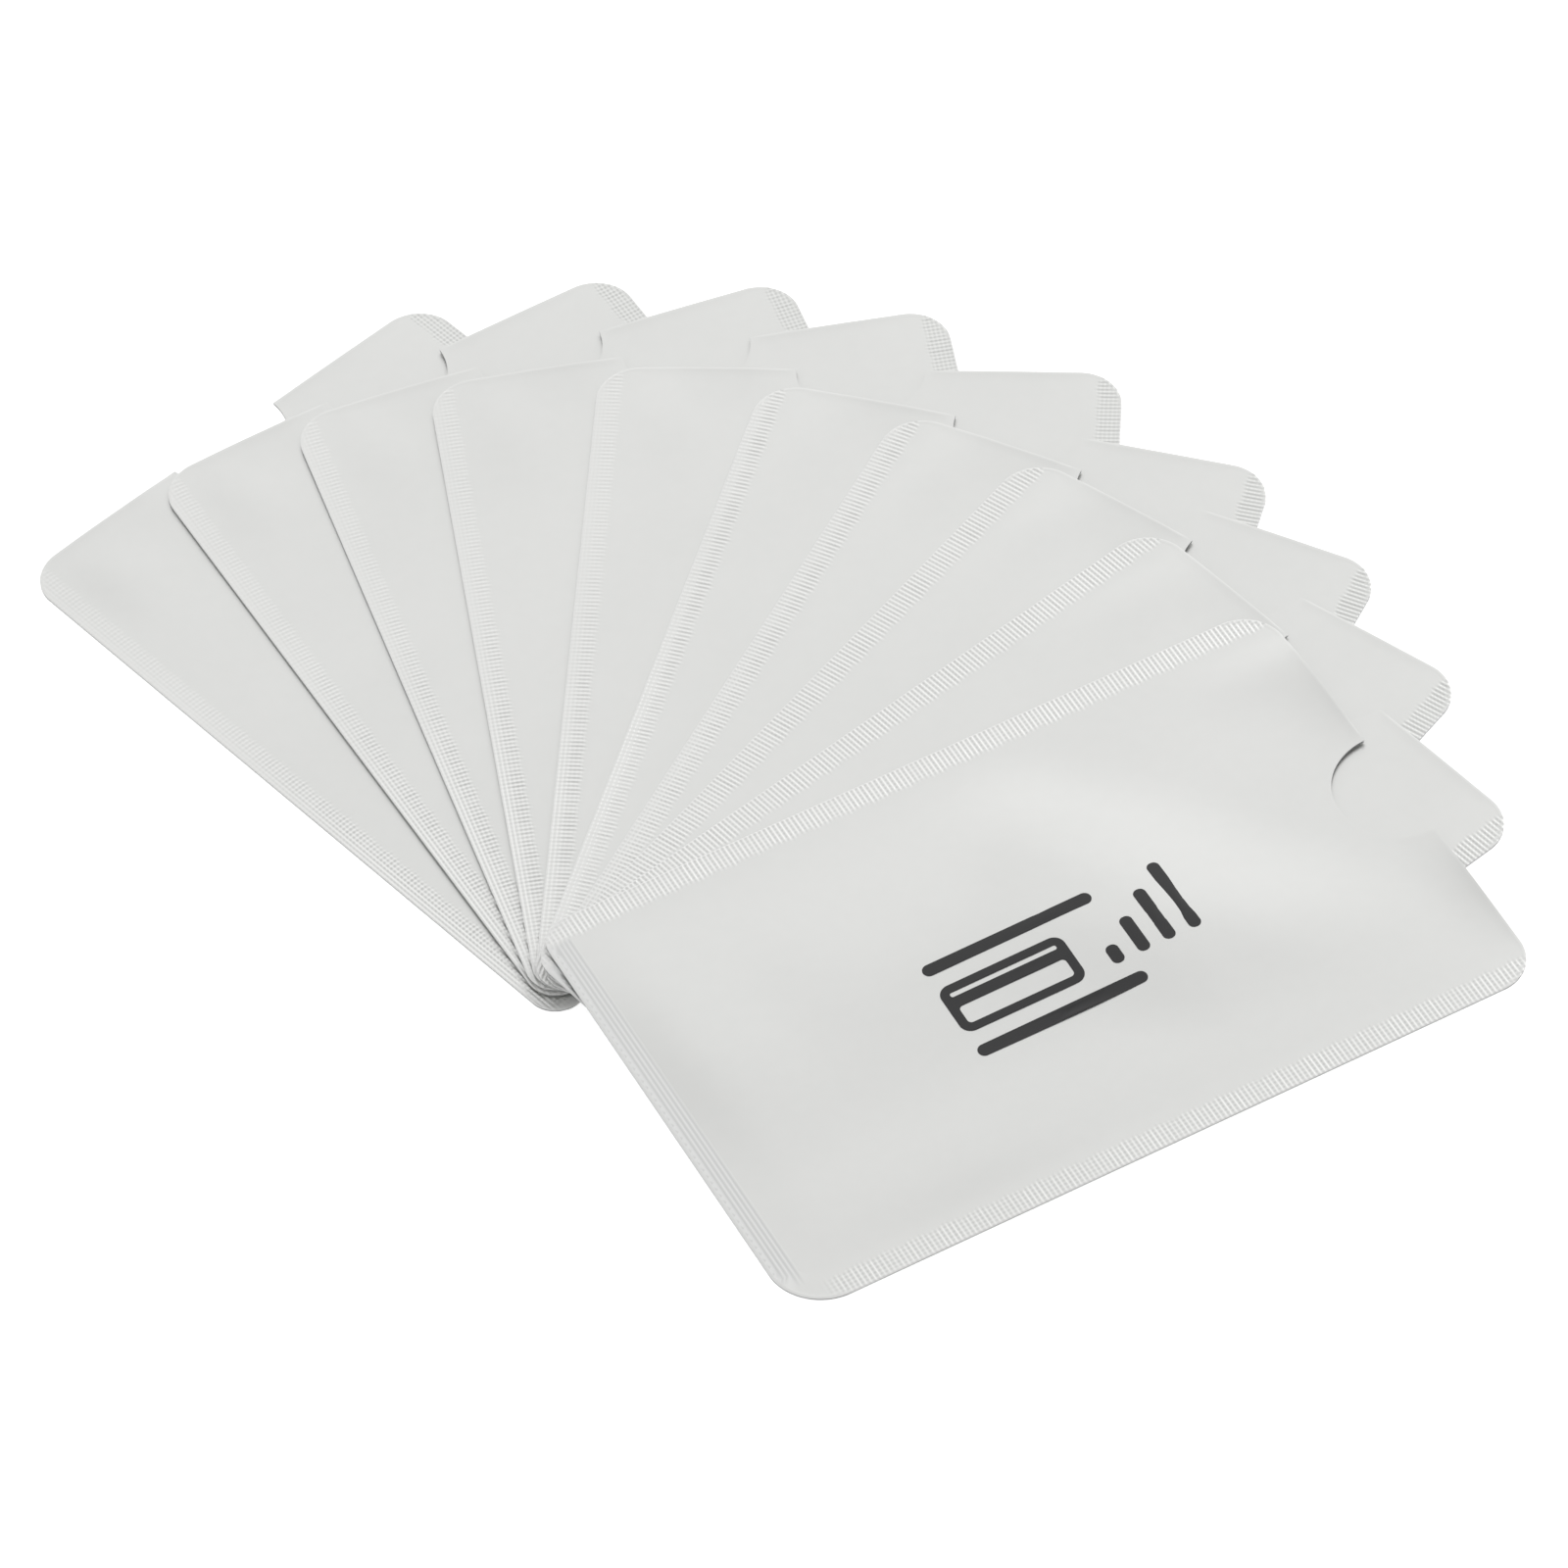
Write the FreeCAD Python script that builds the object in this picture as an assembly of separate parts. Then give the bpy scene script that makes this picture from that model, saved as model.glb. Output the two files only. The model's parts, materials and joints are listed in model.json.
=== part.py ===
"""Ten flat foil-lined card sleeves, spread in a fan.

A sleeve lies along X from its closed end at x = 0 to its open mouth, with its left edge on y = 0
and its right edge at y = -SLEEVE_WIDTH. Its layers, from below: back film, back foil, a weld round
three sides, front foil and front film. The front wall swells over the empty pocket and stands open
at the mouth. Each sleeve is then turned and laid on the one below it.
"""
import FreeCAD, Part
import math
import os
from FreeCAD import Vector

# Outline of a sleeve, in millimetres
SLEEVE_LENGTH = 92.0
SLEEVE_WIDTH = 61.0
MOUTH_CORNER_RADIUS = 5.0
END_CORNER_RADIUS = 6.5
PIVOT_CORNER_RADIUS = 3.5
NOTCH_RADIUS = 7.5
SEAL_WIDTH = 3.3

# Layers of a sleeve, in millimetres
FILM_THICKNESS = 0.07
FOIL_THICKNESS = 0.03
GLUE_GAP = 0.06
WELD_THICKNESS = 0.06

# Crimp grooves pressed into both faces of the sealed margins
CRIMP_PITCH = 0.95
CRIMP_DEPTH = 0.04
CRIMP_LAND = 0.1

# Swell of the front film, reached at SWELL_LENGTH from the end seal, and the front foil's share of it
STACKED_CROWN = 0.12
TOP_CROWN = 0.5
FOIL_CROWN_SHARE = 0.75
SWELL_LENGTH = 28.0
SWELL_STEPS_ALONG = 6
SWELL_STEPS_ACROSS = 4

# The fan: the first sleeve's heading and each next one's clockwise turn, in degrees,
# and how far a sleeve's closed left corner has slipped from the fan's centre
FIRST_HEADING = 129.1
TURNS = (12.1, 11.3, 10.3, 12.7, 12.6, 10.2, 11.0, 11.9, 12.4)
SLIPS = {1: Vector(1.9, -3.7), 2: Vector(1.0, -1.7), 3: Vector(0.2, -1.0), 4: Vector(0.2, -0.7),
         6: Vector(-0.6, -0.1), 8: Vector(-0.2, 1.3), 9: Vector(-0.4, 2.7), 10: Vector(0.5, 5.5)}
SLEEVE_CLEARANCE = 0.06

# Blanks run this far past the mouth before the outline is cut
OVERRUN = 2.0

# Straight cuts per quarter circle on the layers that the films hide
HIDDEN_CUTS = 2

PLATE_THICKNESS = FILM_THICKNESS + FOIL_THICKNESS
POCKET_WIDTH = SLEEVE_WIDTH - 2 * SEAL_WIDTH
BLANK_LENGTH = SLEEVE_LENGTH + OVERRUN
FRONT_FOIL_Z = PLATE_THICKNESS + WELD_THICKNESS
FRONT_FILM_Z = FRONT_FOIL_Z + FOIL_THICKNESS + GLUE_GAP
STACK_PITCH = FRONT_FILM_Z + FILM_THICKNESS + STACKED_CROWN + SLEEVE_CLEARANCE


def trim_to_outline(blank):
    """Cuts a blank to the sleeve's outline: four rounded corners and the mouth's thumb notch."""
    low, height = cutter_span(blank)
    cutter = Part.makeBox(SLEEVE_LENGTH, SLEEVE_WIDTH, height, Vector(0, -SLEEVE_WIDTH, low))
    middle = low + height / 2
    for x, y, radius in outline_corners():
        upright = [edge for edge in cutter.Edges if edge.BoundBox.ZLength > height / 2]
        corner = min(upright, key=lambda edge: edge.BoundBox.Center.distanceToPoint(Vector(x, y, middle)))
        cutter = cutter.makeFillet(radius, [corner])
    notch_centre = Vector(SLEEVE_LENGTH, -SLEEVE_WIDTH / 2, low)
    cutter = cutter.cut(Part.makeCylinder(NOTCH_RADIUS, height, notch_centre))
    return blank.common(cutter).removeSplitter().Solids[0]


def outline_corners():
    """Place and radius of each corner: the two at the closed end, then the two at the mouth."""
    return ((0, 0, PIVOT_CORNER_RADIUS), (0, -SLEEVE_WIDTH, END_CORNER_RADIUS),
            (SLEEVE_LENGTH, -SLEEVE_WIDTH, MOUTH_CORNER_RADIUS), (SLEEVE_LENGTH, 0, MOUTH_CORNER_RADIUS))


def trim_hidden_layer(blank):
    """Cuts a layer to the same outline in a few straight cuts, which stay just inside the films' edges."""
    low, height = cutter_span(blank)
    quarter = math.pi / 2
    end, mouth, pivot = END_CORNER_RADIUS, MOUTH_CORNER_RADIUS, PIVOT_CORNER_RADIUS
    far = SLEEVE_LENGTH - mouth
    notch_cut_radius = NOTCH_RADIUS / math.cos(quarter / HIDDEN_CUTS / 2)
    points = straight_cuts(end, end - SLEEVE_WIDTH, end, 2 * quarter, quarter)
    points += straight_cuts(far, mouth - SLEEVE_WIDTH, mouth, 3 * quarter, quarter)
    points += straight_cuts(SLEEVE_LENGTH, -SLEEVE_WIDTH / 2, notch_cut_radius, 3 * quarter, -2 * quarter)
    points += straight_cuts(far, -mouth, mouth, 0, quarter)
    points += straight_cuts(pivot, -pivot, pivot, quarter, quarter)
    cutter = Part.Face(Part.makePolygon(points + points[:1])).extrude(Vector(0, 0, height))
    cutter.translate(Vector(0, 0, low))
    return blank.common(cutter).removeSplitter().Solids[0]


def cutter_span(blank):
    """The foot and height of a cutter that passes right through a blank."""
    box = blank.BoundBox
    return box.ZMin - OVERRUN, box.ZLength + 2 * OVERRUN


def straight_cuts(x, y, radius, start, sweep):
    """Points of a polygon that stands for an arc about (x, y)."""
    count = round(abs(sweep) / (math.pi / 2)) * HIDDEN_CUTS
    angles = [start + sweep * cut / count for cut in range(count + 1)]
    return [Vector(x + radius * math.cos(angle), y + radius * math.sin(angle), 0) for angle in angles]


def flat_pocket_sheet(thickness):
    """The back wall's sheet inside the seals."""
    return Part.makeBox(BLANK_LENGTH - SEAL_WIDTH, POCKET_WIDTH, thickness,
                        Vector(SEAL_WIDTH, SEAL_WIDTH - SLEEVE_WIDTH, 0))


def swollen_pocket_sheet(thickness, crown):
    """The front wall's sheet inside the seals: flat at the end seal, arched at the mouth."""
    rows = []
    for step in range(SWELL_STEPS_ALONG + 1):
        along = (BLANK_LENGTH - SEAL_WIDTH) * step / SWELL_STEPS_ALONG
        rise = 1 - max(0.0, 1 - along / SWELL_LENGTH) ** 2
        row = []
        for place in range(SWELL_STEPS_ACROSS + 1):
            across = place / SWELL_STEPS_ACROSS
            arch = 4 * across * (1 - across)
            row.append(Vector(SEAL_WIDTH + along, -SEAL_WIDTH - POCKET_WIDTH * across, crown * rise * arch))
        rows.append(row)
    surface = Part.BSplineSurface()
    surface.interpolate(rows)
    sheet = surface.toShape().extrude(Vector(0, 0, thickness))
    if sheet.Volume < 0:
        sheet.reverse()
    return sheet


def crimped_strip(length, thickness):
    """A sealed margin along X with its outer edge on y = 0 and crimp grooves in its top."""
    grooves = int((SEAL_WIDTH - 2 * CRIMP_LAND) / CRIMP_PITCH)
    first = (SEAL_WIDTH - grooves * CRIMP_PITCH) / 2
    points = [Vector(0, 0, 0), Vector(0, 0, thickness), Vector(0, -first, thickness)]
    for groove in range(grooves):
        start = first + groove * CRIMP_PITCH
        points.append(Vector(0, -start - CRIMP_PITCH / 2, thickness - CRIMP_DEPTH))
        points.append(Vector(0, -start - CRIMP_PITCH, thickness))
    points += [Vector(0, -SEAL_WIDTH, thickness), Vector(0, -SEAL_WIDTH, 0)]
    profile = Part.Face(Part.makePolygon(points + points[:1]))
    return profile.extrude(Vector(length, 0, 0))


def crimped_margins(thickness):
    """The three sealed margins: two full-length sides with the end strip between them."""
    left = crimped_strip(BLANK_LENGTH, thickness)
    right = left.mirror(Vector(0, -SLEEVE_WIDTH / 2, 0), Vector(0, 1, 0))
    end = crimped_strip(POCKET_WIDTH, thickness)
    end.rotate(Vector(0, 0, 0), Vector(0, 0, 1), 90)
    end.translate(Vector(0, SEAL_WIDTH - SLEEVE_WIDTH, 0))
    return [left, right, end]


def plain_margins(thickness):
    """The same three margins with flat faces, as one U-shaped plate."""
    plate = Part.makeBox(BLANK_LENGTH, SLEEVE_WIDTH, thickness, Vector(0, -SLEEVE_WIDTH, 0))
    return plate.cut(flat_pocket_sheet(thickness))


def back_film():
    """The outer film of the back wall, with its crimp underneath."""
    sheet = flat_pocket_sheet(FILM_THICKNESS).multiFuse(crimped_margins(FILM_THICKNESS))
    return trim_to_outline(sheet.mirror(Vector(0, 0, FILM_THICKNESS / 2), Vector(0, 0, 1)))


def back_foil():
    """The shielding foil laminated inside the back film."""
    foil = Part.makeBox(BLANK_LENGTH, SLEEVE_WIDTH, FOIL_THICKNESS, Vector(0, -SLEEVE_WIDTH, FILM_THICKNESS))
    return trim_hidden_layer(foil)


def heat_seal():
    """The weld of the melted liners that joins the two walls round three sides."""
    weld = plain_margins(WELD_THICKNESS)
    weld.translate(Vector(0, 0, PLATE_THICKNESS))
    return trim_hidden_layer(weld)


def front_foil(crown):
    """The shielding foil laminated inside the front film."""
    foil = swollen_pocket_sheet(FOIL_THICKNESS, crown).fuse(plain_margins(FOIL_THICKNESS))
    foil.translate(Vector(0, 0, FRONT_FOIL_Z))
    return trim_hidden_layer(foil)


def front_film(crown):
    """The outer film of the front wall, with its crimp on top."""
    film = swollen_pocket_sheet(FILM_THICKNESS, crown).multiFuse(crimped_margins(FILM_THICKNESS))
    film.translate(Vector(0, 0, FRONT_FILM_Z))
    return trim_to_outline(film)


def sleeve_layers(crown):
    """One flat sleeve's pieces, by name."""
    return {
        "back_film": back_film(),
        "back_foil": back_foil(),
        "heat_seal": heat_seal(),
        "front_foil": front_foil(crown * FOIL_CROWN_SHARE),
        "front_film": front_film(crown),
    }


def lay_in_fan(shape, number):
    """Turns a piece of one sleeve to its heading and lifts it to its place in the stack."""
    heading = FIRST_HEADING - math.fsum(TURNS[:number - 1])
    laid = shape.copy()
    laid.rotate(Vector(0, 0, 0), Vector(0, 0, 1), heading)
    laid.translate(SLIPS.get(number, Vector(0, 0, 0)) + Vector(0, 0, (number - 1) * STACK_PITCH))
    return laid


def build():
    """Lays out the fan with its lowest face on z = 0, centred on the origin, and writes each piece."""
    count = len(TURNS) + 1
    stacked = sleeve_layers(STACKED_CROWN)
    top = sleeve_layers(TOP_CROWN)
    nodes = {}
    for number in range(1, count + 1):
        layers = top if number == count else stacked
        for name, shape in layers.items():
            nodes[f"sleeve_{number:02d}_{name}"] = lay_in_fan(shape, number)
    box = Part.makeCompound([shape for name, shape in nodes.items() if name.endswith("back_film")]).BoundBox
    to_centre = Vector(-box.Center.x, -box.Center.y, 0)
    os.makedirs("parts", exist_ok=True)
    for name, shape in nodes.items():
        shape.translate(to_centre)
        shape.exportStep(f"parts/{name}.step")
    print("fan centre at", -to_centre.x, -to_centre.y, "stack pitch", STACK_PITCH)


build()
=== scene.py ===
"""Dresses a fan of ten flat foil-lined card sleeves.

Satin film walls with crimped seals, a printed mark on the top sleeve and a white studio.
"""
import json
import math

import bpy
import numpy as np
from mathutils import Matrix, Vector
from mathutils.geometry import delaunay_2d_cdt


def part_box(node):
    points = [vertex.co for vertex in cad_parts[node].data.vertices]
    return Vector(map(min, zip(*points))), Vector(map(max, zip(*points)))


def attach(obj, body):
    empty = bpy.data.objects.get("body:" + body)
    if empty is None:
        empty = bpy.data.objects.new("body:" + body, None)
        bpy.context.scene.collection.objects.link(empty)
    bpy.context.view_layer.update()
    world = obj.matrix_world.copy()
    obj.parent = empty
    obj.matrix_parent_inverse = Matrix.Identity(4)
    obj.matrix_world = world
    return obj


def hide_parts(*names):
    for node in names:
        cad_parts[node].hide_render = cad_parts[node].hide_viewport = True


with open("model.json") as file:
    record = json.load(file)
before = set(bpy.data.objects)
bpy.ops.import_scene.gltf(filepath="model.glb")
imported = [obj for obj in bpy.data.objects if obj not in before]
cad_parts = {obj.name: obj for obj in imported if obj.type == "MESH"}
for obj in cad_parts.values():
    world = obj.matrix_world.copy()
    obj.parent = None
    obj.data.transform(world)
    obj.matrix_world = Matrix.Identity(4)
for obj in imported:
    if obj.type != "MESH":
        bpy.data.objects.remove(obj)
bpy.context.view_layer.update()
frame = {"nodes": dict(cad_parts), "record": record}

# Sizes of a sleeve in millimetres, as in the CAD source
MM = 0.001
SLEEVES = 10
LENGTH = 92.0
WIDTH = 61.0
MOUTH_CORNER = 5.0
END_CORNER = 6.5
PIVOT_CORNER = 3.5
NOTCH = 7.5
BACK_WALL_TOP = 0.10
SEAL_GAP = 0.06
FRONT_WALL = 0.16
FRONT_TOP = BACK_WALL_TOP + SEAL_GAP + FRONT_WALL

# Crimp pressed into the seals, in millimetres: SEAL is the width that shows as pressed
SEAL = 3.0
RIB_PITCH = 0.58
RIB_DEPTH = 0.085
BACK_RIB_SHARE = 0.5
SIDE_LINE_PITCH = 0.51
END_LINE_PITCH = 0.53
END_LINE_DEPTH = 0.042

# Where the crimp fades out: inside the band, with the depth, rate and start of its ragged waves, in the far closed
# corner and at both ends of the closed end's lines
BAND_FADE = 0.45
BAND_RAGGED = ((0.12, 1.7, 0.0), (0.10, 4.3, 1.0))
FAR_CORNER_FADE = (3.6, 6.5)
END_BAND_FADE = 0.3
END_LINES_PIVOT = (2.6, 3.3)
END_LINES_FAR = (3.5, 6.0)

# The lowest sleeves, whose left seals are pressed more softly towards the mouth
SOFT_SLEEVES = 5

# How hard the right seals' ribs are pressed: on covered upper sleeves and on the others
RIGHT_FIRM = 0.95
RIGHT_SOFT = 0.70

# How unevenly all ribs are pressed: the level, how much a slow drift and the single rib change it, their rates and
# how far each sleeve starts along them. A rib runs from valley to valley, so it starts that share of a pitch early.
PRESS_LEVEL = 0.85
PRESS_DRIFT = 0.15
PRESS_DRIFT_RATES = (0.35, 0.9)
PRESS_DRIFT_START = 2.3
PRESS_BY_RIB = 0.18
PRESS_RIB_RATE = 2.1
PRESS_RIB_START = 1.7
RIB_STARTS_EARLY = 0.25

# How far the left seals' ribs are softened, and from where to where: near the mouth, the pivot and the edge
MOUTH_SOFTENING = 0.65
MOUTH_SOFTENING_RUN = (30.0, 70.0)
PIVOT_SOFTENING = 0.30
PIVOT_SOFTENING_RUN = (30.0, 60.0)
EDGE_SOFTENING_FIRM = 0.10
EDGE_SOFTENING_MORE = 0.55
EDGE_SOFTENING_RUN = (0.7, 1.8)

# How clearly the long lines show, how much of that they lose, and from where to where
LOW_LINES = 0.65
LOW_LINES_LOSS = 0.55
LOW_LINES_RUN = (25.0, 60.0)
LOW_LINES_RIGHT = 0.50
UPPER_LINES = 0.35
SOFT_LINES_MORE = 0.45
SOFT_LINES_LOSS = 0.40
SOFT_LINES_RUN = (30.0, 70.0)
EDGE_LINES_MORE = 0.4
EDGE_LINES_LOSS = 0.6
EDGE_LINES_RUN = (1.0, 2.0)

# How much darker the right crimp of a covered sleeve is painted, as painted shade
RIGHT_PAINTED_SHADE = 0.9

# Bead that the cutter leaves just inside a cut edge, in millimetres
EDGE_BEAD = 0.025
MOUTH_BEAD = 0.015
NOTCH_BEAD = 0.003
EDGE_BEAD_IN = 0.17
EDGE_FLAT = 0.38
EDGE_DROP_SHARE = 0.4
BACK_BEAD_SHARE = 0.3
END_BEAD_FULL = 1.0
NOTCH_BEAD_RUN = (0.3, 1.5)

# How much nearer the edge the wear and its painted highlight count round the pivot corner, where they also lighten the
# shaded stack, and from where to where that wanes
PIVOT_WEAR_HIGHLIGHT_SHARE = 0.12
PIVOT_WEAR_HIGHLIGHT_RUN = (3.0, 9.0)

# Spacing of a sheet's points, in millimetres
RIB_STEP = RIB_PITCH / 4
END_LINE_STEP = END_LINE_PITCH / 4
CORNER_STEP = 0.25
LEAST_CORNER_STEPS = 6
MOUTH_STEP = 0.5
END_STEP = 1.0
NOTCH_STEPS = 80
PANEL_STEP = 1.5
INNER_STEP = 3.0
CLEAR_OF_LOOPS = 0.12
CLEAR_OF_RIM = 0.8
MERGE_DISTANCE = 1e-6

# Rows of points from the side edges inward: over the crimp, then rows with so many rib steps between points
BAND_ROWS = (0.62, 1.0, 1.5, 2.0, 2.4, 2.7, 3.0, 3.3)
PASSING_ROWS = ((3.9, 2), (4.7, 4))
END_ROWS_FROM = 4.7
END_ROWS_PAST_SEAL = 0.3
PANEL_FROM_END = 5.0
PANEL_FROM_SIDE = 5.75

# Swell of the covered sleeves' front walls over the empty pockets, in millimetres
STACKED_SWELL = 0.10
STACKED_LIP = 0.135
STACKED_CORNER = 0.14
SWELL_RUN = 22.0
SWELL_LEVEL = 0.8
SWELL_WAVES = 0.12
MOUTH_SINK = 0.5
MOUTH_SINK_RUN = (LENGTH - 25.0, LENGTH - 6.0)
LIP_RUN = 7.0
LIP_CURVE = 1.6
LIP_FROM_SEAL = (SEAL + 2.0, SEAL + 10.0)
LIP_FROM_NOTCH = (NOTCH, NOTCH + 6.0)
LIP_RIGHT_SHARE = 0.3

# Slow waves on that swell: rates along and across, how far each sleeve starts along them, and a slanting wave's share
WAVE_RATES = (0.11, 0.13)
WAVE_STARTS = (1.9, 0.7)
SLANT_SHARE = 0.6
SLANT_RATES = (0.21, 0.16)

# Fuller left corner of those walls at the mouth: along, half length, across, half width, and where it clears the seal
FULL_CORNER = (85.0, 7.0, 8.0, 4.0)
CORNER_FROM_SEAL = (SEAL, SEAL + 3.5)

# Pillow of the top sleeve's front wall, in millimetres and shares of its height
TOP_SWELL = 0.80
TOP_LOW_SHARE = 0.60
TOP_LOW_TO_FULL = (22.0, 54.0)
TOP_CLIMB_BEFORE = 0.5
TOP_CLIMB = 23.0
TOP_PINCH = 12.0
TOP_PINCH_AT = (55.0, 9.0)
TOP_RIDGE_AT = (62.0, 16.0)
TOP_RIDGE_WAY = (0.83, 0.555)
TOP_RIDGE_RUN = (-7.0, 11.0)
TOP_FALL_FROM = 25.0
TOP_FALL_LATER = 8.0
TOP_FALL_LATER_RUN = (45.0, 62.0)
TOP_FALL_RUN = 20.0
TOP_FALL_SHARE = 0.92
TOP_RIGHT_RUN = (SEAL, SEAL + 7.0)
TOP_END_BEFORE = 0.1
TOP_END_RUN = 6.0
TOP_END_RISE = 0.06
TOP_END_RISE_FROM = (SEAL - 0.4, 7.5)
TOP_END_RISE_TO = (12.0, 32.0)
TOP_END_RISE_SIDE = (SEAL, 14.0)
SWELLS_FROM_SIDE = (SEAL, SEAL + 5.0)
SWELLS_FROM_END = (SEAL, SEAL + 6.0)

# Dents and humps of that wall: along, across, half length, half width, turn in degrees, height
TOP_SWELLS = (
    (87.0, 8.0, 6.0, 4.0, 0.0, 0.16),
    (96.0, 13.0, 5.5, 8.0, 0.0, 0.76),
    (96.0, 44.0, 4.6, 8.5, 0.0, 1.00),
    (18.0, 25.0, 6.0, 8.0, 10.0, -0.20),
    (26.0, 51.0, 12.0, 8.0, -15.0, 0.12),
)

# Camera, in millimetres and degrees, for a 1600 by 1600 image, with its clipping in metres
CAMERA_ELEVATION = 49.864
CAMERA_DISTANCE = 957.7
CAMERA_TARGET = (2.177, -1.607, 0.0)
CAMERA_ROLL = -4.719
FOCAL_PIXELS = 8739.2
IMAGE_PIXELS = 1600
SENSOR = 36.0
CLIP_NEAR = 0.05
CLIP_FAR = 20.0


def ease(value, low, high):
    """0 below low, 1 above high and a smooth step between."""
    t = np.clip((np.asarray(value, float) - low) / (high - low), 0.0, 1.0)
    return t * t * (3.0 - 2.0 * t)


def bell(value, middle, half):
    """1 at the middle, falling away smoothly over half on both sides."""
    return np.exp(-((value - middle) / half) ** 2)


# Outline and sheet of one sleeve
def rounded_corner(along, across, radius, start, inset):
    """Points of a corner about (along, across), from the start angle through a quarter turn."""
    count = max(LEAST_CORNER_STEPS, round(radius * math.pi / 2 / CORNER_STEP))
    points = []
    for step in range(count + 1):
        angle = start + math.pi / 2 * step / count
        points.append((along + (radius - inset) * math.cos(angle), across + (radius - inset) * math.sin(angle)))
    return points


def straight(start, stop, step, clear=0.3):
    """Points between start and stop, at whole multiples of step, none within that share of a step of an end."""
    low, high = sorted((start, stop))
    values = [step * number for number in range(math.ceil(low / step + clear), math.floor(high / step - clear) + 1)]
    return values if start < stop else values[::-1]


def outline(inset=0.0):
    """The sleeve's outline, or a line that much inside it, once round from the pivot corner."""
    quarter = math.pi / 2
    mouth, side = LENGTH - MOUTH_CORNER, WIDTH - MOUTH_CORNER
    radius = NOTCH + inset
    reach = math.acos(inset / radius)
    notch_start = WIDTH / 2 - radius * math.sin(reach)
    points = rounded_corner(PIVOT_CORNER, PIVOT_CORNER, PIVOT_CORNER, 2 * quarter, inset)
    points += [(u, inset) for u in straight(PIVOT_CORNER, mouth, RIB_STEP)]
    points += rounded_corner(mouth, MOUTH_CORNER, MOUTH_CORNER, 3 * quarter, inset)
    points += [(LENGTH - inset, v) for v in straight(MOUTH_CORNER, notch_start, MOUTH_STEP)]
    for step in range(NOTCH_STEPS + 1):
        angle = -reach + 2 * reach * step / NOTCH_STEPS
        points.append((LENGTH - radius * math.cos(angle), WIDTH / 2 + radius * math.sin(angle)))
    points += [(LENGTH - inset, v) for v in straight(WIDTH - notch_start, side, MOUTH_STEP)]
    points += rounded_corner(mouth, side, MOUTH_CORNER, 0.0, inset)
    points += [(u, WIDTH - inset) for u in straight(mouth, END_CORNER, RIB_STEP)]
    points += rounded_corner(END_CORNER, WIDTH - END_CORNER, END_CORNER, quarter, inset)
    points += [(inset, v) for v in straight(WIDTH - END_CORNER, PIVOT_CORNER, END_STEP)]
    return points


def depth_inside(u, v):
    """How far a point lies inside the outline."""
    u, v = np.asarray(u, float), np.asarray(v, float)
    radius = np.where(u > LENGTH / 2, MOUTH_CORNER, np.where(v < WIDTH / 2, PIVOT_CORNER, END_CORNER))
    x = np.abs(u - LENGTH / 2) - LENGTH / 2 + radius
    y = np.abs(v - WIDTH / 2) - WIDTH / 2 + radius
    past = np.hypot(np.maximum(x, 0), np.maximum(y, 0)) + np.minimum(np.maximum(x, y), 0) - radius
    return np.minimum(-past, from_notch(u, v) - NOTCH)


def from_notch(u, v):
    """Distance from the notch's centre."""
    return np.hypot(u - LENGTH, v - WIDTH / 2)


def seal_depth(v):
    """Distance from the nearer long edge."""
    return np.minimum(v, WIDTH - v)


def wear_highlight_depth(u, v):
    """How far a point lies inside the three welded edges, less round the pivot corner, where the sleeves rub and the
    painted highlight lightens the shaded stack.
    """
    depth = np.minimum(depth_inside(np.minimum(u, LENGTH / 2), v), seal_depth(v))
    return depth * (PIVOT_WEAR_HIGHLIGHT_SHARE + (1.0 - PIVOT_WEAR_HIGHLIGHT_SHARE) * ease(np.hypot(u, v), *PIVOT_WEAR_HIGHLIGHT_RUN))


def fine_points():
    """Points of an outer face: close together over the crimp, wide apart over the panel."""
    spots = []
    for row in BAND_ROWS:
        for u in np.arange(RIB_STEP, LENGTH, RIB_STEP):
            spots += [(u, row), (u, WIDTH - row)]
    for row, spread in PASSING_ROWS:
        for u in np.arange(row, LENGTH, RIB_STEP * spread):
            spots += [(u, row), (u, WIDTH - row)]
    for u in np.arange(END_LINE_STEP, SEAL + END_ROWS_PAST_SEAL, END_LINE_STEP):
        spots += [(u, v) for v in np.arange(END_ROWS_FROM, WIDTH - END_ROWS_FROM, END_STEP)]
    last = WIDTH - PANEL_FROM_SIDE + PANEL_STEP / 2
    for u in np.arange(PANEL_FROM_END, LENGTH, PANEL_STEP):
        spots += [(u, v) for v in np.arange(PANEL_FROM_SIDE, last, PANEL_STEP)]
    return spots


def coarse_points():
    """Points of an inner face."""
    across = np.arange(INNER_STEP, WIDTH, INNER_STEP)
    return [(u, v) for u in np.arange(INNER_STEP, LENGTH, INNER_STEP) for v in across]


def joined_loops(loops):
    """The points of some closed loops in one list, and the edges round each."""
    points, edges = [], []
    for loop in loops:
        first = len(points)
        points += loop
        edges += [(first + step, first + (step + 1) % len(loop)) for step in range(len(loop))]
    return points, edges


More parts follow.
